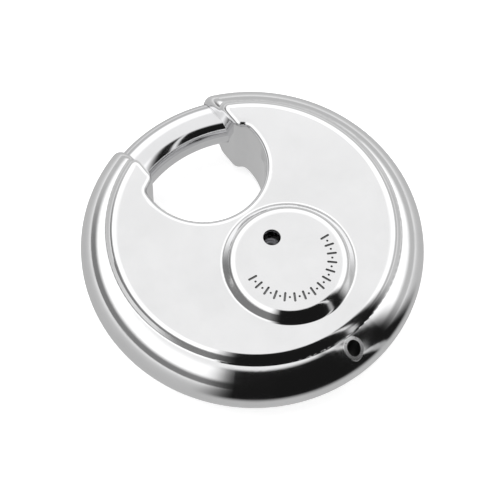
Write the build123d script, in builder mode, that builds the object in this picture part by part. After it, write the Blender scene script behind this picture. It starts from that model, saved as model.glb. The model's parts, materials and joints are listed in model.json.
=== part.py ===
from build123d import *
import math
import os

# Disc padlock. It lies on its rear boss: +Z is the disc's axis, out of the front face,
# +Y points from the disc's centre to the gap that the shackle spans.
# z = 0 is the rear boss's face. Heights named below are measured from the disc's mid-plane.

os.makedirs("parts", exist_ok=True)

# ---- driving dimensions, in millimetres and degrees ----

# Shells: two equal deep-drawn halves.
DISC_R = 35.0
RIM_R = 8.0
PLATEAU_Z = 9.6
STEP_FOOT_R = 29.6
STEP_LEAN = 35.0
STEP_TOP_FILLET = 2.5
STEP_FOOT_FILLET = 0.8
SHEET = 1.0
BOSS_Y = -11.15
BOSS_Z = 12.2
BOSS_MID_R = 12.2
BOSS_LEAN = 38.0
BOSS_CROWN_FILLET = 2.6
BOSS_FOOT_FILLET = 1.0
HALF_WELD = 0.5

# Opening for the hasp, and the gap between the horns.
OPENING_Y = 16.9
OPENING_R = 12.8
HORN_INNER_R = 22.8
GAP_LEFT = 9.6
GAP_RIGHT = 11.0
CORNER_R = 1.6
HORN_CORNER_R = 1.8
LIP_R = 1.5
BOSS_SKIRT = 0.6
TOUCH = 0.01

# Shackle: a round bar on a circle about the disc's axis.
SHACKLE_R = 29.5
BAR_R = 4.4
BAR_HOLE_R = 4.45
SHACKLE_TAIL = -19.0
SHACKLE_TIP = 115.5
SWING = 50.0

# Holes in the case.
WEEP_Y = -5.6
WEEP_R = 1.75
DRAIN_R = 31.9
DRAIN_TUBE_R = 2.0
DRAIN_BORE_R = 1.35
KEY_HOLE_R = 6.4

# Core: a casting between the shells, with the gears on its front.
CORE_R = 24.4
CORE_BACK_Z = -8.3
CORE_FLOOR_Z = 4.6
COVER_Z = 7.3
COVER_TOP_Z = 8.3
CORE_END_Y = 16.0
CORE_GAP = 0.15
FILLER_START = 128.0
FILLER_END = 282.0

# Gears: the plug's pinion turns the carrier's toothed sector, in the ratio 18 to 10.
PRESSURE_ANGLE = 25.0
PINION_TEETH = 10
SECTOR_TEETH = 18
MODULE = -2 * BOSS_Y / (PINION_TEETH + SECTOR_TEETH)
SECTOR_CUT_TEETH = 5
BACKLASH = 0.12
GEAR_Z = 5.0
GEAR_TOP_Z = 7.2

# Carrier: pivots on the disc's axis and pulls the shackle round by its lug.
HUB_R = 2.9
PIVOT_R = 2.0
RUNNING_GAP = 0.05
ARM_HALF_WIDTH = 2.5
ARM_KNEE_R = 12.0
ARM_KNEE_LEAD = 22.0
LUG_ANGLE = -10.0
LUG_INNER_R = 21.0
LUG_OUTER_R = 25.2
LUG_HALF_ANGLE = 6.0
LUG_BACK_Z = -3.0
LUG_SADDLE = 1.5
LUG_POCKET_GAP = 0.4
DEDENDUM = 1.25
ROOT_OVERLAP = 0.26
FLANK_POINTS = 4
WASHER_PLAY = 0.02

# Lock cylinder: keyed from the rear, on the boss's axis.
HOUSING_R = 8.2
HOUSING_BACK_Z = -10.9
HOUSING_TOP_Z = 4.0
CHAMBER_HALF_WIDTH = 3.5
CHAMBER_END_Y = -23.6
PLUG_R = 5.9
PLUG_BACK_Z = -11.8
PLUG_HEAD_R = 6.2
TAIL_R = 1.9
TAIL_FLAT = 1.3
TAIL_TOP_Z = 8.1
PIN_R = 1.05
PIN_GAP = 0.05
PIN_PITCH = 2.35
FIRST_PIN_Z = -6.9
KEY_PIN_LENGTHS = (3.6, 2.9, 4.1, 3.2, 2.7)
DRIVER_LENGTH = 3.0

# Small parts of the case.
HORN_HOLE_START = 60.0
DRAIN_PROUD = 0.15
MARK_R = 8.4
MARK_LENGTH = 2.0
MARK_WIDTH = 0.45
MARK_DEPTH = 0.35
MARK_COUNT = 15
MARK_START = 174.0
MARK_STEP = 13.0
MARK_SPAN = MARK_STEP * (MARK_COUNT - 1)

# Small parts of the core.
GUIDE_ANGLE = 56.0
GEAR_WELL_R = 8.4
PINION_WELL_R = 5.2
ARM_SWEEP_START = -76.0
ARM_SWEEP_END = 32.0
LUG_SWEEP_START = -72.0
LUG_SWEEP_END = 1.0
SCREW_ANGLES = (40.0, 140.0, 200.0, 250.0)
SCREW_CIRCLE_R = 21.3
SCREW_R = 1.0
SCREW_SEAT = 0.8
SCREW_SHANK = 6.0
SCREW_SLOT = 0.5
STOP_R = 1.0
STOP_GAP = 0.15
STOP_SHANK = 3.5
STOP_CHAMFER = 0.2
STOP_ALONG_CLOSED = 5.0
STOP_ALONG_OPEN = 10.0
PIVOT_SHANK_R = 1.2

# Small parts of the lock cylinder.
CHAMBER_BACK_Z = -8.3
CHAMBER_COVER = 0.6
DRILL_PIN_X = 7.08
DRILL_PIN_R = 0.75
DRILL_PIN_LENGTH = 5.0
HOUSING_PIN_R = 1.0
HOUSING_PIN_LENGTH = 7.0
KEYWAY_DEPTH = 15.0
KEYWAY_WIDTH = 1.4
KEYWAY_HEIGHT = 8.6
WARD_HEIGHT = 1.2
LOW_WARD_Y = -1.2
HIGH_WARD_Y = 1.8
PLUG_CHAMFER = 0.3
PINION_FLANGE_R = 7.0
PINION_FLANGE = 0.5
CLIP_Z = 7.3
CLIP_GROOVE = 0.4
CLIP_INNER_R = 1.2
CLIP_OUTER_R = 3.2
CLIP_MOUTH = 1.6
KEY_PIN_CHAMFER = 0.6
KEY_PIN_SHY = 0.12
DRIVER_SHY = 0.2
SPRING_R = 0.8
SPRING_WIRE_R = 0.13
SPRING_TURNS = 5
SPRING_PLAY = 0.02

# Small parts of the shackle.
BAR_CHAMFER = 0.8
RIVET_CIRCLE_R = 23.0
RIVET_HALF = 2.9
RIVET_R = 0.7
RIVET_SHANK = 3.0


def level(z):
    """Horizontal plane at height z above the disc's mid-plane."""
    return Plane.XY.offset(BOSS_Z + z)


def section_plane(y=0.0, turn=0.0):
    """Vertical plane through (0, y), with local x along the direction turn and local y along +Z."""
    direction = Vector(1, 0, 0).rotate(Axis.Z, turn)
    normal = Vector(0, -1, 0).rotate(Axis.Z, turn)
    return Plane(origin=(0, y, BOSS_Z), x_dir=direction, z_dir=normal)


def polar(radius, angle):
    """Point at this radius and angle about the disc's axis."""
    return (radius * math.cos(math.radians(angle)), radius * math.sin(math.radians(angle)))


def riser(x, z, lean, inset, height):
    """Where a riser that leans inwards by lean, moved inwards by inset, crosses z = 0 and z = height."""
    slope = math.tan(math.radians(lean))
    foot = x + z * slope - inset / math.cos(math.radians(lean))
    return foot, foot - height * slope


def is_corner(sketch, vertex):
    """True where the two edges at this vertex meet at an angle."""
    tangents = []
    for edge in sketch.edges():
        for end in (0, 1):
            if (edge @ end - Vector(vertex)).length < TOUCH:
                tangents.append(edge % end)
    return len(tangents) == 2 and tangents[0].cross(tangents[1]).length > 5 * TOUCH


def disc_section(inset, turn=0.0, low=-DISC_R):
    """Half section of the disc without its bosses, moved inwards by inset, from the height low up."""
    foot_z = math.sqrt(RIM_R**2 - (STEP_FOOT_R - DISC_R + RIM_R) ** 2)
    top = PLATEAU_Z - inset
    middle, edge = riser(STEP_FOOT_R, foot_z, STEP_LEAN, inset, top)
    with BuildSketch(section_plane(turn=turn)) as sketch:
        with BuildLine():
            Polyline((0, -top), (edge, -top), (middle, 0), (edge, top), (0, top), close=True)
        make_face()
        with Locations((DISC_R - RIM_R, 0)):
            Circle(RIM_R - inset)
        tops = sketch.vertices().filter_by(lambda v: v.X > TOUCH and abs(abs(v.Y) - top) < TOUCH)
        fillet(tops, STEP_TOP_FILLET - inset)
        feet = sketch.vertices().filter_by(lambda v: v.X > TOUCH and is_corner(sketch, v))
        fillet(feet, STEP_FOOT_FILLET + inset)
        with Locations((0, low)):
            Rectangle(2 * DISC_R, 2 * DISC_R, align=(Align.MIN, Align.MIN), mode=Mode.INTERSECT)
    return sketch.sketch


def boss_section(inset):
    """Half section of the front boss, on the boss axis, moved inwards by inset."""
    top = BOSS_Z - inset
    plateau = PLATEAU_Z - inset
    middle_z = (PLATEAU_Z + BOSS_Z) / 2
    foot, edge = riser(BOSS_MID_R, middle_z, BOSS_LEAN, inset, top)
    base = foot - plateau * math.tan(math.radians(BOSS_LEAN))
    skirt = base + BOSS_FOOT_FILLET + inset + BOSS_SKIRT
    with BuildSketch(section_plane(BOSS_Y)) as sketch:
        with BuildLine():
            outline = [(0, 0), (skirt, 0), (skirt, plateau), (base, plateau), (edge, top), (0, top)]
            Polyline(*outline, close=True)
        make_face()
        crown = sketch.vertices().filter_by(lambda v: v.X > TOUCH and abs(v.Y - top) < TOUCH)
        fillet(crown, BOSS_CROWN_FILLET - inset)
        foot_corner = sketch.vertices().filter_by(lambda v: abs(v.X - base) < TOUCH)
        fillet(foot_corner, BOSS_FOOT_FILLET + inset)
    return sketch.sketch


def opening_outline(grow):
    """Plan of the opening and the gap between the horns, grown outwards by grow."""
    left = -GAP_LEFT - grow
    right = GAP_RIGHT + grow
    with BuildSketch(Plane.XY) as sketch:
        with Locations((0, OPENING_Y)):
            Circle(OPENING_R + grow)
        Circle(HORN_INNER_R + grow, mode=Mode.INTERSECT)
        with Locations((left, OPENING_Y)):
            Rectangle(right - left, DISC_R, align=(Align.MIN, Align.MIN))
        outside = sketch.vertices().filter_by(lambda v: v.X < left - TOUCH or v.X > right + TOUCH)
        fillet([v for v in outside if is_corner(sketch, v)], CORNER_R + grow)
        tips = sketch.vertices().filter_by(lambda v: min(abs(v.X - left), abs(v.X - right)) < TOUCH)
        fillet(tips.filter_by(lambda v: v.Y < DISC_R), HORN_CORNER_R - grow)
    return sketch.sketch


# ---- case ----


def half_disc(inset, lip=0.0):
    """Everything above the mid-plane inside the case's surface, moved inwards by inset."""
    with BuildPart() as half:
        add(disc_section(inset, low=0))
        revolve(axis=Axis.Z)
        add(boss_section(inset))
        revolve(axis=Axis((0, BOSS_Y, 0), (0, 0, 1)))
        add(opening_outline(inset))
        extrude(amount=2 * BOSS_Z, mode=Mode.SUBTRACT)
        if lip:
            upright = half.faces().filter_by(lambda f: f.geom_type in (GeomType.PLANE, GeomType.CYLINDER))
            walls = upright.filter_by(lambda f: abs(f.normal_at().Z) < TOUCH and f.center().Y > 0)
            rims = ShapeList(e for f in walls for e in f.edges()).filter_by(Axis.Z, reverse=True)
            fillet(rims.filter_by(lambda e: e.center().Z > BOSS_Z + TOUCH), lip)
    return half.part


with BuildPart() as half_case:
    add(half_disc(0, LIP_R))
    add(half_disc(SHEET), mode=Mode.SUBTRACT)
    # Holes in the horns' end walls for the shackle.
    with BuildSketch(section_plane(turn=HORN_HOLE_START)):
        with Locations((SHACKLE_R, 0)):
            Circle(BAR_HOLE_R)
    revolve(axis=Axis.Z, revolution_arc=180 - 2 * HORN_HOLE_START, mode=Mode.SUBTRACT)
    with BuildSketch(Plane.XY):
        with Locations((0, -DRAIN_R)):
            Circle(DRAIN_TUBE_R)
    extrude(amount=2 * BOSS_Z, mode=Mode.SUBTRACT)

with BuildPart() as front_shell:
    add(half_case.part)
    split(bisect_by=level(HALF_WELD), keep=Keep.TOP)
    with BuildSketch(level(BOSS_Z)):
        with Locations((0, WEEP_Y)):
            Circle(WEEP_R)
    extrude(amount=-2 * SHEET, mode=Mode.SUBTRACT)
    # Plain stamped marks round the lower half of the boss: strokes with dots between them.
    with BuildSketch(level(BOSS_Z)):
        with Locations((0, BOSS_Y)):
            with PolarLocations(MARK_R, MARK_COUNT, MARK_START, MARK_SPAN, endpoint=True):
                SlotOverall(MARK_LENGTH, MARK_WIDTH)
            dots_start = MARK_START + MARK_STEP / 2
            with PolarLocations(MARK_R, MARK_COUNT - 1, dots_start, MARK_SPAN - MARK_STEP, endpoint=True):
                Circle(MARK_WIDTH / 2)
    extrude(amount=-MARK_DEPTH, mode=Mode.SUBTRACT)

with BuildPart() as rear_shell:
    add(half_case.part)
    split(bisect_by=level(HALF_WELD), keep=Keep.TOP)
    with BuildSketch(level(BOSS_Z)):
        with Locations((0, BOSS_Y)):
            Circle(KEY_HOLE_R)
    extrude(amount=-2 * SHEET, mode=Mode.SUBTRACT)
    mirror(about=level(0), mode=Mode.REPLACE)

with BuildPart() as seam_weld:
    add(half_case.part)
    split(bisect_by=level(HALF_WELD), keep=Keep.BOTTOM)
    mirror(about=level(0))

with BuildPart() as drain_tube:
    with BuildSketch(Plane.XY):
        with Locations((0, -DRAIN_R)):
            Circle(DRAIN_TUBE_R)
    extrude(amount=2 * BOSS_Z)
    with Locations((0, 0, BOSS_Z)):
        Torus(DISC_R - RIM_R, RIM_R + DRAIN_PROUD, mode=Mode.INTERSECT)
    with BuildSketch(Plane.XY):
        with Locations((0, -DRAIN_R)):
            Circle(DRAIN_BORE_R)
    extrude(amount=2 * BOSS_Z, mode=Mode.SUBTRACT)

# ---- core ----


def core_plan(sketch_plane):
    """Plan of the core's round hub, clear of the opening's wall and of the horns."""
    with BuildSketch(sketch_plane) as sketch:
        Circle(CORE_R)
        add(opening_outline(SHEET + CORE_GAP), mode=Mode.SUBTRACT)
        with Locations((0, CORE_END_Y)):
            Rectangle(2 * DISC_R, DISC_R, align=(Align.CENTER, Align.MIN), mode=Mode.SUBTRACT)
    return sketch.sketch


def arm_point(along, aside, turn=0.0):
    """Point beside the arm's outer limb, with the carrier turned by turn."""
    knee = Vector(*polar(ARM_KNEE_R, LUG_ANGLE + ARM_KNEE_LEAD))
    end = Vector(*polar(LUG_OUTER_R, LUG_ANGLE))
    limb = (end - knee).normalized()
    point = knee + limb * along + Vector(-limb.Y, limb.X) * aside
    return point.rotate(Axis.Z, turn)


def sector(sketch_plane, inner, outer, start, end):
    """Ring sector between two radii and two angles."""
    with BuildSketch(sketch_plane) as sketch:
        with BuildLine():
            Line(polar(inner, start), polar(outer, start))
            CenterArc((0, 0), outer, start, end - start)
            Line(polar(outer, end), polar(inner, end))
            CenterArc((0, 0), inner, start, end - start)
        make_face()
    return sketch.sketch


screw_points = [polar(SCREW_CIRCLE_R, angle) for angle in SCREW_ANGLES]
stop_aside = ARM_HALF_WIDTH + STOP_R + STOP_GAP
stop_points = [arm_point(STOP_ALONG_CLOSED, stop_aside), arm_point(STOP_ALONG_OPEN, -stop_aside, -SWING)]
stop_points = [(point.X, point.Y) for point in stop_points]

with BuildPart() as core_body:
    add(disc_section(SHEET + CORE_GAP, turn=FILLER_START))
    revolve(axis=Axis.Z, revolution_arc=FILLER_END - FILLER_START)
    with BuildSketch(level(COVER_Z)):
        Circle(CORE_R + CORE_GAP)
    extrude(amount=BOSS_Z, mode=Mode.SUBTRACT)
    add(core_plan(level(CORE_BACK_Z)))
    extrude(amount=COVER_Z - CORE_BACK_Z)
    add(opening_outline(SHEET + CORE_GAP))
    extrude(amount=2 * BOSS_Z, mode=Mode.SUBTRACT)
    # Pocket for the cylinder housing, its pin chamber and the chamber's cover.
    with BuildSketch(level(-BOSS_Z)):
        with Locations((0, BOSS_Y)):
            Circle(HOUSING_R + RUNNING_GAP)
        with Locations((0, BOSS_Y)):
            Rectangle(
                2 * (CHAMBER_HALF_WIDTH + RUNNING_GAP),
                BOSS_Y - CHAMBER_END_Y + CHAMBER_COVER + RUNNING_GAP,
                align=(Align.CENTER, Align.MAX),
            )
    extrude(amount=BOSS_Z + CORE_FLOOR_Z, mode=Mode.SUBTRACT)
    # Gear well and the arm's swept space, open to the front.
    with BuildSketch(level(CORE_FLOOR_Z)):
        Circle(GEAR_WELL_R)
        with Locations((0, BOSS_Y)):
            Circle(PINION_WELL_R)
        add(sector(Plane.XY, HUB_R, DISC_R, ARM_SWEEP_START, ARM_SWEEP_END))
    extrude(amount=BOSS_Z, mode=Mode.SUBTRACT)
    # The lug's swept space, open to the shackle's race.
    pocket_r = LUG_INNER_R - LUG_POCKET_GAP
    add(sector(level(LUG_BACK_Z - STOP_GAP), pocket_r, DISC_R, LUG_SWEEP_START, LUG_SWEEP_END))
    extrude(amount=BOSS_Z, mode=Mode.SUBTRACT)
    with BuildSketch(level(CORE_FLOOR_Z)):
        Circle(PIVOT_SHANK_R)
        with Locations(*stop_points):
            Circle(STOP_R)
    extrude(amount=-STOP_SHANK, mode=Mode.SUBTRACT)
    with BuildSketch(level(COVER_Z)):
        with Locations(*screw_points):
            Circle(SCREW_R)
    extrude(amount=-SCREW_SHANK, mode=Mode.SUBTRACT)
    with BuildSketch(level(HOUSING_TOP_Z - HOUSING_PIN_LENGTH)):
        with Locations((HOUSING_R, BOSS_Y)):
            Circle(HOUSING_PIN_R)
    extrude(amount=BOSS_Z, mode=Mode.SUBTRACT)
    with BuildSketch(Plane.XY):
        with Locations((0, -DRAIN_R)):
            Circle(DRAIN_TUBE_R + CORE_GAP)
    extrude(amount=2 * BOSS_Z, mode=Mode.SUBTRACT)

with BuildPart() as core_cover:
    add(core_plan(level(COVER_Z)))
    extrude(amount=COVER_TOP_Z - COVER_Z)
    with BuildSketch(level(COVER_Z)):
        Circle(PIVOT_SHANK_R)
        with Locations((0, BOSS_Y)):
            Circle(PINION_WELL_R)
        with Locations((0, WEEP_Y)):
            Circle(WEEP_R)
        with Locations(*screw_points):
            Circle(SCREW_R)
    extrude(amount=BOSS_Z, mode=Mode.SUBTRACT)
    rims = core_cover.faces().sort_by(Axis.Z)[-1].edges().filter_by(GeomType.CIRCLE)
    chamfer(rims.filter_by(lambda e: abs(e.radius - SCREW_R) < TOUCH), SCREW_SEAT)

with BuildPart() as cover_screws:
    with Locations(*[(x, y, BOSS_Z + COVER_TOP_Z) for x, y in screw_points]):
        Cone(SCREW_R, SCREW_R + SCREW_SEAT, SCREW_SEAT, align=(Align.CENTER, Align.CENTER, Align.MAX))
        shank = COVER_TOP_Z - COVER_Z + SCREW_SHANK
        Cylinder(SCREW_R, shank, align=(Align.CENTER, Align.CENTER, Align.MAX))
        slot_align = (Align.CENTER, Align.CENTER, Align.MAX)
        Box(2 * SCREW_R, SCREW_SLOT, SCREW_SLOT, align=slot_align, mode=Mode.SUBTRACT)

with BuildPart() as stop_pins:
    with BuildSketch(level(CORE_FLOOR_Z - STOP_SHANK)):
        with Locations(*stop_points):
            Circle(STOP_R)
    extrude(amount=STOP_SHANK + GEAR_TOP_Z - CORE_FLOOR_Z)
    chamfer(stop_pins.faces().sort_by(Axis.Z)[-2:].edges(), STOP_CHAMFER)


def guide_block(start, end):
    """Hard insert that fills a horn around the shackle, behind the horn's end wall."""
    with BuildPart() as block:
        add(disc_section(SHEET + CORE_GAP, turn=start))
        revolve(axis=Axis.Z, revolution_arc=end - start)
        with BuildSketch(Plane.XY):
            Circle(HORN_INNER_R + SHEET + CORE_GAP)
            add(opening_outline(SHEET + CORE_GAP))
        extrude(amount=2 * BOSS_Z, mode=Mode.SUBTRACT)
        with Locations((0, 0, BOSS_Z)):
            Torus(SHACKLE_R, BAR_HOLE_R, mode=Mode.SUBTRACT)
    return block.part


right_guide = guide_block(GUIDE_ANGLE, 90)
left_guide = guide_block(90, 180 - GUIDE_ANGLE)

# ---- lock cylinder ----

pin_heights = [FIRST_PIN_Z + PIN_PITCH * i for i in range(len(KEY_PIN_LENGTHS))]


def pin_plane(z, depth):
    """Plane across the pin stacks, its normal pointing away from the plug, depth below the plug's axis."""
    return Plane(origin=(0, BOSS_Y - depth, BOSS_Z + z), x_dir=(1, 0, 0), z_dir=(0, -1, 0))


with BuildPart() as cylinder_housing:
    with BuildSketch(level(HOUSING_BACK_Z)):
        with Locations((0, BOSS_Y)):
            Circle(HOUSING_R)
    extrude(amount=HOUSING_TOP_Z - HOUSING_BACK_Z)
    with BuildSketch(level(CHAMBER_BACK_Z)):
        with Locations((0, BOSS_Y)):
            Rectangle(
                2 * CHAMBER_HALF_WIDTH,
                BOSS_Y - CHAMBER_END_Y,
                align=(Align.CENTER, Align.MAX),
            )
    extrude(amount=HOUSING_TOP_Z - CHAMBER_BACK_Z)
    with BuildSketch(level(HOUSING_BACK_Z)):
        with Locations((0, BOSS_Y)):
            Circle(PLUG_R + RUNNING_GAP)
    extrude(amount=BOSS_Z * 2, mode=Mode.SUBTRACT)
    for z in pin_heights:
        with BuildSketch(pin_plane(z, 0)):
            Circle(PIN_R + PIN_GAP)
        extrude(amount=BOSS_Z * 2, mode=Mode.SUBTRACT)
    with BuildSketch(level(HOUSING_BACK_Z)):
        with Locations((-DRILL_PIN_X, BOSS_Y), (DRILL_PIN_X, BOSS_Y)):
            Circle(DRILL_PIN_R)
    extrude(amount=DRILL_PIN_LENGTH, mode=Mode.SUBTRACT)
    with BuildSketch(level(HOUSING_TOP_Z - HOUSING_PIN_LENGTH)):
        with Locations((HOUSING_R, BOSS_Y)):
            Circle(HOUSING_PIN_R)
    extrude(amount=BOSS_Z, mode=Mode.SUBTRACT)

with BuildPart() as anti_drill_pins:
    with BuildSketch(level(HOUSING_BACK_Z)):
        with Locations((-DRILL_PIN_X, BOSS_Y), (DRILL_PIN_X, BOSS_Y)):
            Circle(DRILL_PIN_R)
    extrude(amount=DRILL_PIN_LENGTH)

with BuildPart() as housing_pin:
    with BuildSketch(level(HOUSING_TOP_Z - HOUSING_PIN_LENGTH)):
        with Locations((HOUSING_R, BOSS_Y)):
            Circle(HOUSING_PIN_R)
    extrude(amount=HOUSING_PIN_LENGTH)

with BuildPart() as chamber_cover:
    with BuildSketch(level(CHAMBER_BACK_Z)):
        with Locations((0, CHAMBER_END_Y)):
            Rectangle(2 * CHAMBER_HALF_WIDTH, CHAMBER_COVER, align=(Align.CENTER, Align.MAX))
    extrude(amount=HOUSING_TOP_Z - CHAMBER_BACK_Z)

def tail_section(sketch_plane):
    """Section of the plug's tail: round, with a flat on its left."""
    with BuildSketch(sketch_plane) as sketch:
        with Locations((0, BOSS_Y)):
            Circle(TAIL_R)
        with Locations((-TAIL_FLAT, BOSS_Y)):
            Rectangle(2 * TAIL_R, 2 * TAIL_R, align=(Align.MIN, Align.CENTER), mode=Mode.INTERSECT)
    return sketch.sketch


with BuildPart() as plug:
    with BuildSketch(level(PLUG_BACK_Z)):
        with Locations((0, BOSS_Y)):
            Circle(PLUG_HEAD_R)
    extrude(amount=HOUSING_BACK_Z - RUNNING_GAP - PLUG_BACK_Z)
    chamfer(plug.faces().sort_by(Axis.Z)[0].edges(), PLUG_CHAMFER)
    with BuildSketch(level(HOUSING_BACK_Z - RUNNING_GAP)):
        with Locations((0, BOSS_Y)):
            Circle(PLUG_R)
    extrude(amount=HOUSING_TOP_Z + RUNNING_GAP - HOUSING_BACK_Z)
    add(tail_section(level(HOUSING_TOP_Z)))
    extrude(amount=TAIL_TOP_Z - HOUSING_TOP_Z)
    with BuildSketch(level(CLIP_Z)):
        with Locations((0, BOSS_Y)):
            Circle(2 * TAIL_R)
            Circle(CLIP_INNER_R, mode=Mode.SUBTRACT)
    extrude(amount=CLIP_GROOVE, mode=Mode.SUBTRACT)
    # Keyway: a tall slot with a ward on each side.
    with BuildSketch(level(PLUG_BACK_Z)):
        with Locations((0, BOSS_Y)):
            Rectangle(KEYWAY_WIDTH, KEYWAY_HEIGHT)
        ward_x = KEYWAY_WIDTH / 2
        with Locations((ward_x, BOSS_Y + LOW_WARD_Y), (-ward_x, BOSS_Y + HIGH_WARD_Y)):
            Rectangle(KEYWAY_WIDTH, WARD_HEIGHT)
    extrude(amount=KEYWAY_DEPTH, mode=Mode.SUBTRACT)
    for z in pin_heights:
        with BuildSketch(pin_plane(z, 0)):
            Circle(PIN_R + PIN_GAP)
        extrude(amount=2 * PLUG_R, mode=Mode.SUBTRACT)

with BuildPart() as key_pins:
    for z, length in zip(pin_heights, KEY_PIN_LENGTHS):
        with BuildSketch(pin_plane(z, PLUG_R - length)):
            Circle(PIN_R)
        extrude(amount=length - KEY_PIN_SHY)
    tips = key_pins.faces().filter_by(GeomType.PLANE).filter_by(lambda f: f.normal_at().Y > 0.5)
    chamfer(tips.edges(), KEY_PIN_CHAMFER)

with BuildPart() as driver_pins:
    for z in pin_heights:
        with BuildSketch(pin_plane(z, PLUG_R + DRIVER_SHY)):
            Circle(PIN_R)
        extrude(amount=DRIVER_LENGTH)

with BuildPart() as pin_springs:
    start = PLUG_R + DRIVER_SHY + DRIVER_LENGTH + SPRING_WIRE_R + SPRING_PLAY
    height = BOSS_Y - CHAMBER_END_Y - start - SPRING_WIRE_R - SPRING_PLAY
    for z in pin_heights:
        centre = (0, BOSS_Y - start, BOSS_Z + z)
        with BuildLine() as coil:
            Helix(height / SPRING_TURNS, height, SPRING_R, center=centre, direction=(0, -1, 0))
        with BuildSketch(Plane(origin=coil.line @ 0, z_dir=coil.line % 0)):
            Circle(SPRING_WIRE_R)
        sweep(path=coil.line, is_frenet=True)

# ---- gears and shackle ----


def involute(angle):
    """Involute function of an angle in radians."""
    return math.tan(angle) - angle


def root_radius(teeth):
    """Radius of the circle between the teeth."""
    return MODULE * (teeth / 2 - DEDENDUM)


def gear_tooth(teeth):
    """Outline of one involute tooth pointing along +X, from inside the root to the tip."""
    pitch_r = MODULE * teeth / 2
    base_r = pitch_r * math.cos(math.radians(PRESSURE_ANGLE))
    tip_r = pitch_r + MODULE
    inside_r = root_radius(teeth) - ROOT_OVERLAP
    pitch_half = (math.pi * MODULE - BACKLASH) / 4 / pitch_r + involute(math.radians(PRESSURE_ANGLE))

    def flank(radius):
        half = pitch_half - involute(math.acos(min(1.0, base_r / radius)))
        return Vector(radius * math.cos(half), radius * math.sin(half))

    step = (tip_r - base_r) / (FLANK_POINTS - 1)
    points = [flank(base_r + step * i) for i in range(FLANK_POINTS)]
    foot = Vector(inside_r * math.cos(pitch_half), inside_r * math.sin(pitch_half))
    with BuildSketch() as sketch:
        with BuildLine():
            Line((0, 0), foot)
            Line(foot, points[0])
            Spline(*points)
            Line(points[-1], (points[-1].X, 0))
            Line((points[-1].X, 0), (0, 0))
        make_face()
        mirror(about=Plane.XZ)
    return sketch.sketch


rivet_points = [polar(RIVET_CIRCLE_R, LUG_ANGLE + side * RIVET_HALF) for side in (-1, 1)]

with BuildPart() as drive_pinion:
    with BuildSketch(level(GEAR_Z)):
        with Locations((0, BOSS_Y)):
            Circle(root_radius(PINION_TEETH))
            with PolarLocations(0, PINION_TEETH, start_angle=90 + 180 / PINION_TEETH):
                add(gear_tooth(PINION_TEETH))
    extrude(amount=GEAR_TOP_Z - GEAR_Z)
    with BuildSketch(level(HOUSING_TOP_Z + RUNNING_GAP)):
        with Locations((0, BOSS_Y)):
            Circle(PINION_FLANGE_R)
    extrude(amount=PINION_FLANGE)
    with BuildSketch(level(HOUSING_TOP_Z + RUNNING_GAP)):
        with Locations((0, BOSS_Y)):
            Circle(root_radius(PINION_TEETH))
    extrude(amount=GEAR_Z - HOUSING_TOP_Z)
    add(tail_section(level(HOUSING_TOP_Z)))
    extrude(amount=BOSS_Z, mode=Mode.SUBTRACT)

with BuildPart() as plug_clip:
    with BuildSketch(level(CLIP_Z)):
        with Locations((0, BOSS_Y)):
            Circle(CLIP_OUTER_R)
            Circle(CLIP_INNER_R, mode=Mode.SUBTRACT)
            Rectangle(CLIP_OUTER_R, CLIP_MOUTH, align=(Align.MIN, Align.CENTER), mode=Mode.SUBTRACT)
    extrude(amount=CLIP_GROOVE)

with BuildPart() as carrier_gear:
    with BuildSketch(level(GEAR_Z)):
        Circle(HUB_R)
        tooth_pitch = 360 / SECTOR_TEETH
        first_tooth = -90 - tooth_pitch
        last_tooth = first_tooth + (SECTOR_CUT_TEETH - 1) * tooth_pitch
        sector_start = first_tooth - tooth_pitch / 2
        knee_angle = LUG_ANGLE + ARM_KNEE_LEAD
        add(sector(Plane.XY, PIVOT_R, root_radius(SECTOR_TEETH), sector_start, knee_angle))
        with PolarLocations(0, SECTOR_CUT_TEETH, first_tooth, last_tooth - first_tooth, endpoint=True):
            add(gear_tooth(SECTOR_TEETH))
        with BuildLine():
            limb = Polyline((0, 0), polar(ARM_KNEE_R, knee_angle), polar(LUG_OUTER_R, LUG_ANGLE))
            offset(limb, ARM_HALF_WIDTH)
        make_face()
        Circle(LUG_OUTER_R, mode=Mode.INTERSECT)
        Circle(PIVOT_R + RUNNING_GAP, mode=Mode.SUBTRACT)
        with Locations(*rivet_points):
            Circle(RIVET_R, mode=Mode.SUBTRACT)
    extrude(amount=GEAR_TOP_Z - GEAR_Z)

with BuildPart() as carrier_pivot:
    with BuildSketch(level(CORE_FLOOR_Z)):
        Circle(PIVOT_R)
    extrude(amount=COVER_Z - CORE_FLOOR_Z)
    with BuildSketch(level(CORE_FLOOR_Z - STOP_SHANK)):
        Circle(PIVOT_SHANK_R)
    extrude(amount=COVER_TOP_Z - CORE_FLOOR_Z + STOP_SHANK)

with BuildPart() as pivot_washer:
    with BuildSketch(level(CORE_FLOOR_Z)):
        Circle(HUB_R)
        Circle(PIVOT_R + RUNNING_GAP, mode=Mode.SUBTRACT)
    extrude(amount=GEAR_Z - CORE_FLOOR_Z - WASHER_PLAY)

with BuildPart() as shackle:
    with BuildSketch(section_plane(turn=SHACKLE_TAIL)):
        with Locations((SHACKLE_R, 0)):
            Circle(BAR_R)
    revolve(axis=Axis.Z, revolution_arc=SHACKLE_TIP - SHACKLE_TAIL)
    chamfer(shackle.faces().filter_by(GeomType.PLANE).edges(), BAR_CHAMFER)

with BuildPart() as shackle_lug:
    lug_start = LUG_ANGLE - LUG_HALF_ANGLE
    lug_end = LUG_ANGLE + LUG_HALF_ANGLE
    add(sector(level(LUG_BACK_Z), LUG_INNER_R, LUG_OUTER_R + LUG_SADDLE, lug_start, lug_end))
    extrude(amount=GEAR_Z - LUG_BACK_Z)
    with Locations((0, 0, BOSS_Z)):
        Torus(SHACKLE_R, BAR_R, mode=Mode.SUBTRACT)
    with BuildSketch(level(GEAR_Z)):
        with Locations(*rivet_points):
            Circle(RIVET_R)
    extrude(amount=-RIVET_SHANK, mode=Mode.SUBTRACT)

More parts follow.
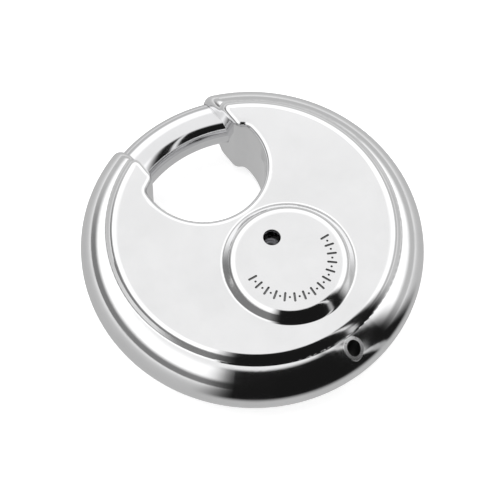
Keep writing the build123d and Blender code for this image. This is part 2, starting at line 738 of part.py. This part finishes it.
with BuildPart() as lug_rivets:
    with BuildSketch(level(GEAR_Z - RIVET_SHANK)):
        with Locations(*rivet_points):
            Circle(RIVET_R)
    extrude(amount=GEAR_TOP_Z - GEAR_Z + RIVET_SHANK)

# ---- files ----

pieces = {
    "front_shell": front_shell.part,
    "rear_shell": rear_shell.part,
    "seam_weld": seam_weld.part,
    "drain_tube": drain_tube.part,
    "core_body": core_body.part,
    "core_cover": core_cover.part,
    "cover_screws": cover_screws.part,
    "stop_pins": stop_pins.part,
    "right_guide": right_guide,
    "left_guide": left_guide,
    "cylinder_housing": cylinder_housing.part,
    "housing_pin": housing_pin.part,
    "anti_drill_pins": anti_drill_pins.part,
    "chamber_cover": chamber_cover.part,
    "driver_pins": driver_pins.part,
    "pin_springs": pin_springs.part,
    "plug": plug.part,
    "key_pins": key_pins.part,
    "drive_pinion": drive_pinion.part,
    "plug_clip": plug_clip.part,
    "carrier_pivot": carrier_pivot.part,
    "pivot_washer": pivot_washer.part,
    "carrier_gear": carrier_gear.part,
    "shackle_lug": shackle_lug.part,
    "lug_rivets": lug_rivets.part,
    "shackle": shackle.part,
}
for name, piece in pieces.items():
    piece.label = name
    export_step(piece, f"parts/{name}.step")
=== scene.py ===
import json
import math

import bpy
from mathutils import Matrix, Vector


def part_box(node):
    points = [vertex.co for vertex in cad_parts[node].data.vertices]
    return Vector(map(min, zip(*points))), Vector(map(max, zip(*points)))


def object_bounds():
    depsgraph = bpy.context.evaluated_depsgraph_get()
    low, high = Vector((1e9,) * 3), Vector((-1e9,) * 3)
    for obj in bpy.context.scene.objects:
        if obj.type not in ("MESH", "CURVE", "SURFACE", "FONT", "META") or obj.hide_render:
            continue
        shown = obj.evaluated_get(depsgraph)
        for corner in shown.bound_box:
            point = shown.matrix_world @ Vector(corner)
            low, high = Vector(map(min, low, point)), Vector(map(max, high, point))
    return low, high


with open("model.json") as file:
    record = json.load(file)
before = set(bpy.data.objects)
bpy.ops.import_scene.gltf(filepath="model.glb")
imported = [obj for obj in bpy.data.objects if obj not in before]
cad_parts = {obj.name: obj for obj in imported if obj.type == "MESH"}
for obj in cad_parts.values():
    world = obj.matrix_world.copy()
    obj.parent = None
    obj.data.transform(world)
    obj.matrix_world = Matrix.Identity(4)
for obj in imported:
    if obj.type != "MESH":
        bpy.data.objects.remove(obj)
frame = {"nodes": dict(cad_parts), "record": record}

# Disc padlock, in metres. +Z is the disc's axis, +Y points to the gap that the shackle spans.
CAD_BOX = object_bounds()
SEAM_LOW, SEAM_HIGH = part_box("seam_weld")
MID_Z = (SEAM_LOW.z + SEAM_HIGH.z) / 2
PLUG_LOW, PLUG_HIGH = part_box("plug")
BOSS_AXIS = Vector(((PLUG_LOW.x + PLUG_HIGH.x) / 2, (PLUG_LOW.y + PLUG_HIGH.y) / 2, 0))

# Camera: a third of a metre away, from above and to the left of the padlock's foot.
VIEW_AZIMUTH = math.radians(-41.0)
VIEW_ELEVATION = math.radians(63.9)
VIEW_ROLL = math.radians(3.8)
VIEW_DISTANCE = 0.323
FRAME_WIDTH = 0.10217
SENSOR = 0.036
SHIFT_X = -0.0054
SHIFT_Y = -0.0118

# Tones of the tent that the steel mirrors. Its angles are in degrees: a turn is measured round the
# padlock from the camera, a rise from the disc's mid-plane. Each pair is where a change starts and ends.
TENT_TOP = 0.97
TENT_WALL = 1.25
TENT_FOOT = 0.55
TENT_NEAR_FOOT = 0.22
TENT_TOP_RISE = (46, 60)
TENT_FOOT_RISE = (12, 24)
NEAR_FOOT_TURN = -60.0
NEAR_FOOT_REACH = (45, 75)
PANEL_TONE = 0.01
PANEL_LEFT = (-22.0, -4.0)
PANEL_RIGHT = (74.0, 92.0)
PANEL_TOP = (52.0, 61.0)
PANEL_SLIT = 61.0
SLIT_REACH = (1.0, 4.0)
SLIT_DARKNESS = 0.25
# FLOOR_TONES: the floor as the metal sees it, greyer close to the padlock as the padlock's painted
# shadow.
FLOOR_TONES = (0.5, 0.85)
FLOOR_TONE_REACH = (0.02, 0.20)
FLOOR_DARK_REACH = (0.045, 0.058)
FLOOR_GLOW = 0.45
FLOOR_DROP = 0.00002
FLOOR_TONE_LIFT = 0.00005
DOME_FOOT = -12
DOME_SPAN = 102

# Regions that the materials treat on their own, with painted shade and more roughness: the tube's bore,
# and the marks stamped in the boss.
TUBE_BORE_R = 0.00135
MARKS_R = 0.0096
MARKS_DEPTH = (0.00008, 0.0005)

# ---- materials ----


class Nodes:
    """Short calls for building one node material."""

    def __init__(self, name):
        self.material = bpy.data.materials.new(name)
        self.material.use_nodes = True
        self.tree = self.material.node_tree
        self.shader = self.tree.nodes["Principled BSDF"]
        self.place = self.tree.nodes.new("ShaderNodeTexCoord").outputs["Object"]

    def add(self, kind, **inputs):
        node = self.tree.nodes.new(kind)
        for name, value in inputs.items():
            self.set(node.inputs[name.replace("_", " ")], value)
        return node

    def set(self, socket, value):
        if isinstance(value, bpy.types.NodeSocket):
            self.tree.links.new(value, socket)
        elif socket.type == "RGBA" and len(value) == 3:
            socket.default_value = (*value, 1)
        else:
            socket.default_value = value

    def stretched(self, scale, offset=(0, 0, 0)):
        node = self.add("ShaderNodeMapping", Vector=self.place, Scale=scale, Location=offset)
        return node.outputs["Vector"]

    def noise(self, scale, detail=3.0, vector=None, rough=0.5):
        place = vector or self.place
        node = self.add("ShaderNodeTexNoise", Vector=place, Scale=scale, Detail=detail, Roughness=rough)
        return node.outputs["Fac"]

    def ramp(self, value, low, high, to_low, to_high):
        node = self.add("ShaderNodeMapRange", Value=value)
        limits = {"From Min": low, "From Max": high, "To Min": to_low, "To Max": to_high}
        for name, number in limits.items():
            node.inputs[name].default_value = number
        return node.outputs["Result"]

    def mix(self, factor, first, second):
        node = self.tree.nodes.new("ShaderNodeMix")
        node.data_type = "RGBA"
        self.set(node.inputs["Factor"], factor)
        sockets = [s for s in node.inputs if s.type == "RGBA"]
        self.set(sockets[0], first)
        self.set(sockets[1], second)
        return [s for s in node.outputs if s.type == "RGBA"][0]

    def math(self, operation, first, second=0.0):
        node = self.tree.nodes.new("ShaderNodeMath")
        node.operation = operation
        self.set(node.inputs[0], first)
        self.set(node.inputs[1], second)
        return node.outputs["Value"]

    def smooth(self, value, low, high, to_low, to_high):
        result = self.ramp(value, low, high, to_low, to_high)
        result.node.interpolation_type = "SMOOTHSTEP"
        return result

    def blend(self, factor, first, second):
        node = self.tree.nodes.new("ShaderNodeMix")
        self.set(node.inputs["Factor"], factor)
        self.set(node.inputs["A"], first)
        self.set(node.inputs["B"], second)
        return node.outputs["Result"]

    def bump(self, height, distance, strength=1.0, normal=None):
        node = self.add("ShaderNodeBump", Height=height, Distance=distance, Strength=strength)
        if normal is not None:
            self.set(node.inputs["Normal"], normal)
        return node.outputs["Normal"]

    def finish(self, **inputs):
        for name, value in inputs.items():
            self.set(self.shader.inputs[name.replace("_", " ")], value)
        return self.material


def polished_steel(name, colour, dull, wave, stamped=False):
    """Mirror-polished steel: slow waviness, faint smudges and hairline polishing scratches."""
    n = Nodes(name)
    slow = n.noise(45, 1.0)
    smudge = n.noise(120, 4.0, rough=0.6)
    hair = n.noise(1.0, 2.0, n.stretched((300, 9000, 2500)))
    tint = n.mix(n.ramp(smudge, 0.35, 0.7, 0, 1), colour, tuple(c * 0.95 for c in colour))
    normal = n.bump(slow, wave)
    normal = n.bump(hair, 0.0000006, normal=normal)
    rough = n.ramp(smudge, 0.35, 0.75, dull, dull * 2.2)
    if stamped:
        # Painted shade in the stamped marks: their floors get a much darker colour, and more roughness.
        marks = shaded_mark_floors(n)
        tint = n.mix(marks, tint, tuple(c * 0.25 for c in colour))
        rough = n.blend(marks, rough, 0.5)
    return n.finish(Base_Color=tint, Metallic=1.0, Roughness=rough, Normal=normal)


def shaded_mark_floors(n):
    """1 on the floors of the marks stamped into the front boss: there the colour is darkened as painted
    shade, and the steel is rougher where the polish doesn't reach.
    """
    parts = n.add("ShaderNodeSeparateXYZ", Vector=n.place)
    reach = n.add("ShaderNodeVectorMath", Vector=n.stretched((1, 1, 0), offset=(0, -BOSS_AXIS.y, 0)))
    reach.operation = "LENGTH"
    inside = n.math("LESS_THAN", reach.outputs["Value"], MARKS_R)
    depth = n.math("SUBTRACT", CAD_BOX[1][2], parts.outputs["Z"])
    below = n.math("GREATER_THAN", depth, MARKS_DEPTH[0])
    sunk = n.math("MULTIPLY", below, n.math("LESS_THAN", depth, MARKS_DEPTH[1]))
    return n.math("MULTIPLY", inside, sunk)


def tube_steel(name, colour):
    """Polished tube whose bore along its own axis is dull, and darkened in colour as painted shade."""
    low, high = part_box("drain_tube")
    n = Nodes(name)
    at = n.stretched((1, 1, 0), offset=(0, -(low.y + high.y) / 2, 0))
    reach = n.add("ShaderNodeVectorMath", Vector=at)
    reach.operation = "LENGTH"
    # Painted shade inside the bore: 1 there, darkening the colour and raising the roughness.
    bore = n.ramp(reach.outputs["Value"], TUBE_BORE_R * 1.01, TUBE_BORE_R * 1.06, 1, 0)
    smudge = n.noise(900, 3.0)
    tint = n.mix(bore, colour, tuple(c * 0.07 for c in colour))
    rough = n.blend(bore, n.ramp(smudge, 0.35, 0.7, 0.25, 0.4), 0.6)
    return n.finish(Base_Color=tint, Metallic=1.0, Roughness=rough, Normal=n.bump(smudge, 0.000002))


def turned_metal(name, colour, centre, rough=0.28, pitch=0.00022):
    """Turned or faced metal: fine rings about the boss's axis, with a tarnished tint in patches."""
    n = Nodes(name)
    at = n.stretched((1, 1, 0), offset=(-centre.x, -centre.y, 0))
    rings = n.add("ShaderNodeTexWave", Vector=at, Scale=1 / pitch / 3, Distortion=0.6, Detail=2.0)
    rings.wave_type = "RINGS"
    rings.rings_direction = "SPHERICAL"
    patches = n.noise(350, 5.0, rough=0.6)
    tint = n.mix(n.ramp(patches, 0.4, 0.7, 0, 1), colour, tuple(c * 0.78 for c in colour))
    normal = n.bump(rings.outputs["Fac"], 0.000008, 0.5)
    uneven = n.ramp(patches, 0.3, 0.7, rough, rough + 0.14)
    return n.finish(Base_Color=tint, Metallic=1.0, Roughness=uneven, Normal=normal)


def ground_metal(name, colour, rough, grain=(400, 400, 6000), depth=0.000004):
    """Ground, pressed or plated steel: fine directional grain and uneven plating."""
    n = Nodes(name)
    grain_lines = n.noise(1.0, 3.0, n.stretched(grain))
    patches = n.noise(260, 4.0, rough=0.6)
    tint = n.mix(n.ramp(patches, 0.35, 0.7, 0, 1), colour, tuple(c * 0.8 for c in colour))
    normal = n.bump(grain_lines, depth)
    uneven = n.ramp(grain_lines, 0.3, 0.7, rough, rough + 0.15)
    return n.finish(Base_Color=tint, Metallic=1.0, Roughness=uneven, Normal=normal)


def cast_metal(name, colour):
    """As-cast zinc: coarse skin, fine pores and darker blotches."""
    n = Nodes(name)
    skin = n.noise(900, 6.0, rough=0.65)
    pores = n.add("ShaderNodeTexVoronoi", Vector=n.place, Scale=1400).outputs["Distance"]
    blotch = n.noise(160, 3.0)
    tint = n.mix(n.ramp(blotch, 0.35, 0.7, 0, 1), colour, tuple(c * 0.72 for c in colour))
    normal = n.bump(skin, 0.00006, 0.7)
    normal = n.bump(n.ramp(pores, 0.0, 0.25, 0, 1), 0.00003, 0.4, normal=normal)
    rough = n.ramp(skin, 0.3, 0.7, 0.42, 0.6)
    return n.finish(Base_Color=tint, Metallic=0.9, Roughness=rough, Normal=normal)


MATERIALS = {
    "shell": polished_steel("shell_steel", (0.87, 0.87, 0.875), 0.07, 0.000012, stamped=True),
    "shackle": polished_steel("shackle_steel", (0.84, 0.84, 0.85), 0.05, 0.000006),
    "drain_tube": tube_steel("tube_steel", (0.90, 0.90, 0.905)),
    "casting": cast_metal("zinc_casting", (0.55, 0.55, 0.57)),
    "plated_steel": ground_metal("plated_steel", (0.68, 0.68, 0.70), 0.22),
    "hardened_steel": ground_metal("hardened_steel", (0.42, 0.42, 0.44), 0.25, (5000, 400, 400)),
    "brass": turned_metal("housing_brass", (0.76, 0.60, 0.30), BOSS_AXIS),
    "plug": turned_metal("plug_brass", (0.80, 0.66, 0.38), BOSS_AXIS, rough=0.20),
    "pin_brass": turned_metal("pin_brass", (0.80, 0.62, 0.34), BOSS_AXIS, rough=0.22, pitch=0.00012),
    "spring_steel": ground_metal("spring_steel", (0.55, 0.55, 0.58), 0.2, (2000, 2000, 2000), 0.000002),
}

for row in frame["record"]["subparts"]:
    node = frame["nodes"][row["node"]]
    node.data.materials.clear()
    node.data.materials.append(MATERIALS[row["material_slot"]])

# ---- studio ----


def plain_material(name, colour, rough):
    n = Nodes(name)
    shade = n.noise(3.0, 2.0)
    tint = n.mix(n.ramp(shade, 0.3, 0.7, 0, 1), colour, tuple(c * 0.99 for c in colour))
    return n.finish(Base_Color=tint, Roughness=rough, Emission_Color=tint, Emission_Strength=FLOOR_GLOW)


def mesh_object(name, vertices, faces, material=None):
    mesh = bpy.data.meshes.new(name)
    mesh.from_pydata(vertices, [], faces)
    mesh.update()
    made = bpy.data.objects.new(name, mesh)
    bpy.context.scene.collection.objects.link(made)
    if material:
        mesh.materials.append(material)
    return made


def studio_floor():
    half = 3.0
    corners = [(-half, -half, 0), (half, -half, 0), (half, half, 0), (-half, half, 0)]
    white = plain_material("floor_white", (0.93, 0.93, 0.93), 0.9)
    floor = mesh_object("floor", corners, [(0, 1, 2, 3)], white)
    floor.location = (0, 0, -FLOOR_DROP)


def reflection_only(made):
    """Studio surfaces that only mirror-bright metal sees."""
    made.visible_camera = False
    made.visible_diffuse = False
    made.visible_shadow = False
    made.visible_transmission = False


def glow_material(name):
    """Empty emission material, its tree ready for a tone."""
    n = Nodes(name)
    n.tree.nodes.remove(n.shader)
    glow = n.tree.nodes.new("ShaderNodeEmission")
    n.tree.links.new(glow.outputs["Emission"], n.tree.nodes["Material Output"].inputs["Surface"])
    return n, glow.inputs["Color"]


def panel_reach(n, x, y):
    """Turn round the padlock from the camera, in degrees, and 1 where the dark panel stands."""
    turn = n.math("MULTIPLY", n.math("ARCTAN2", x, n.math("MULTIPLY", y, -1.0)), 180 / math.pi)
    across = n.math("MULTIPLY", n.smooth(turn, *PANEL_LEFT, 0, 1), n.smooth(turn, *PANEL_RIGHT, 1, 0))
    aside = n.math("ABSOLUTE", n.math("SUBTRACT", turn, PANEL_SLIT))
    slit = n.smooth(aside, *SLIT_REACH, SLIT_DARKNESS, 1)
    return turn, n.math("MULTIPLY", across, slit)


def reflection_dome(radius=0.6, steps=48):
    """Tent over the padlock. Its -Y side faces the camera; turns are measured from there, positive to the
    camera's right. A dark panel with one slit stands on the right, up to the panel's top. The rest is
    white, with a greyer top and foot."""
    vertices, faces = [], []
    rises = [math.radians(DOME_FOOT + DOME_SPAN * j / steps) for j in range(steps + 1)]
    for i in range(2 * steps):
        turn = math.pi * i / steps
        for rise in rises:
            flat = radius * math.cos(rise)
            vertices.append((flat * math.sin(turn), -flat * math.cos(turn), radius * math.sin(rise)))
    row = steps + 1
    for i in range(2 * steps):
        after = (i + 1) % (2 * steps)
        for j in range(steps):
            faces.append((i * row + j, i * row + j + 1, after * row + j + 1, after * row + j))
    n, colour = glow_material("tent")
    direction = n.add("ShaderNodeVectorMath", Vector=n.place)
    direction.operation = "NORMALIZE"
    parts = n.add("ShaderNodeSeparateXYZ", Vector=direction.outputs["Vector"])
    x, y, z = (parts.outputs[axis] for axis in "XYZ")
    turn, across = panel_reach(n, x, y)
    rise = n.math("MULTIPLY", n.math("ARCSINE", z), 180 / math.pi)
    high = n.smooth(rise, *TENT_TOP_RISE, TENT_WALL, TENT_TOP)
    aside = n.math("ABSOLUTE", n.math("SUBTRACT", turn, NEAR_FOOT_TURN))
    low = n.smooth(aside, *NEAR_FOOT_REACH, TENT_NEAR_FOOT, TENT_FOOT)
    tone = n.blend(n.smooth(rise, *TENT_FOOT_RISE, 0, 1), low, high)
    panel = n.math("MULTIPLY", across, n.smooth(rise, *PANEL_TOP, 1, 0))
    n.set(colour, n.blend(panel, tone, PANEL_TONE))
    dome = mesh_object("tent", vertices, faces, n.material)
    dome.location = (0, 0, MID_Z)
    dome.rotation_euler = (0, 0, VIEW_AZIMUTH)
    reflection_only(dome)


def reflection_floor(radius=0.6, steps=64):
    """The floor as the metal sees it: greyer close to the padlock, as the padlock's painted shadow, and
    dark under the panel.
    """
    angles = [math.tau * i / steps for i in range(steps)]
    ring = [(radius * math.cos(angle), radius * math.sin(angle), 0) for angle in angles]
    n, colour = glow_material("floor_tone")
    reach = n.add("ShaderNodeVectorMath", Vector=n.place)
    reach.operation = "LENGTH"
    parts = n.add("ShaderNodeSeparateXYZ", Vector=n.place)
    across = panel_reach(n, parts.outputs["X"], parts.outputs["Y"])[1]
    under = n.math("MULTIPLY", across, n.smooth(reach.outputs["Value"], *FLOOR_DARK_REACH, 0, 1))
    # Painted shadow: the reflected floor is greyer close to the padlock.
    tone = n.smooth(reach.outputs["Value"], *FLOOR_TONE_REACH, *FLOOR_TONES)
    n.set(colour, n.blend(under, tone, PANEL_TONE))
    disc = mesh_object("floor_tone", ring, [tuple(range(steps))], n.material)
    disc.location = (0, 0, FLOOR_TONE_LIFT)
    disc.rotation_euler = (0, 0, VIEW_AZIMUTH)
    reflection_only(disc)


def softbox(name, place, aim, size, power):
    light = bpy.data.lights.new(name, "AREA")
    light.shape = "DISK"
    light.size = size
    light.energy = power
    lamp = bpy.data.objects.new(name, light)
    lamp.location = place
    lamp.rotation_euler = (Vector(aim) - Vector(place)).to_track_quat("-Z", "Y").to_euler()
    lamp.visible_glossy = False
    bpy.context.scene.collection.objects.link(lamp)


def studio_light():
    world = bpy.data.worlds.new("studio")
    world.use_nodes = True
    world.node_tree.nodes["Background"].inputs["Color"].default_value = (1, 1, 1, 1)
    world.node_tree.nodes["Background"].inputs["Strength"].default_value = 1.0
    bpy.context.scene.world = world
    softbox("top_light", place=(-0.2, 0.25, 0.9), aim=(0, 0, 0), size=0.8, power=3.0)
    reflection_dome()
    reflection_floor()
    bpy.context.scene.view_settings.view_transform = "Standard"


def studio_camera():
    camera = bpy.data.cameras.new("camera")
    camera.sensor_width = SENSOR * 1000
    camera.lens = SENSOR * 1000 * VIEW_DISTANCE / FRAME_WIDTH
    camera.shift_x, camera.shift_y = SHIFT_X, SHIFT_Y
    camera.clip_start, camera.clip_end = 0.01, 20
    made = bpy.data.objects.new("camera", camera)
    flat = math.cos(VIEW_ELEVATION)
    out_x, out_y = math.sin(VIEW_AZIMUTH) * flat, -math.cos(VIEW_AZIMUTH) * flat
    back = Vector((out_x, out_y, math.sin(VIEW_ELEVATION)))
    turn = (-back).to_track_quat("-Z", "Y").to_matrix() @ Matrix.Rotation(VIEW_ROLL, 3, "Z")
    made.matrix_world = Matrix.Translation(Vector((0, 0, MID_Z)) + back * VIEW_DISTANCE) @ turn.to_4x4()
    bpy.context.scene.collection.objects.link(made)
    bpy.context.scene.camera = made


studio_camera()
studio_floor()
studio_light()
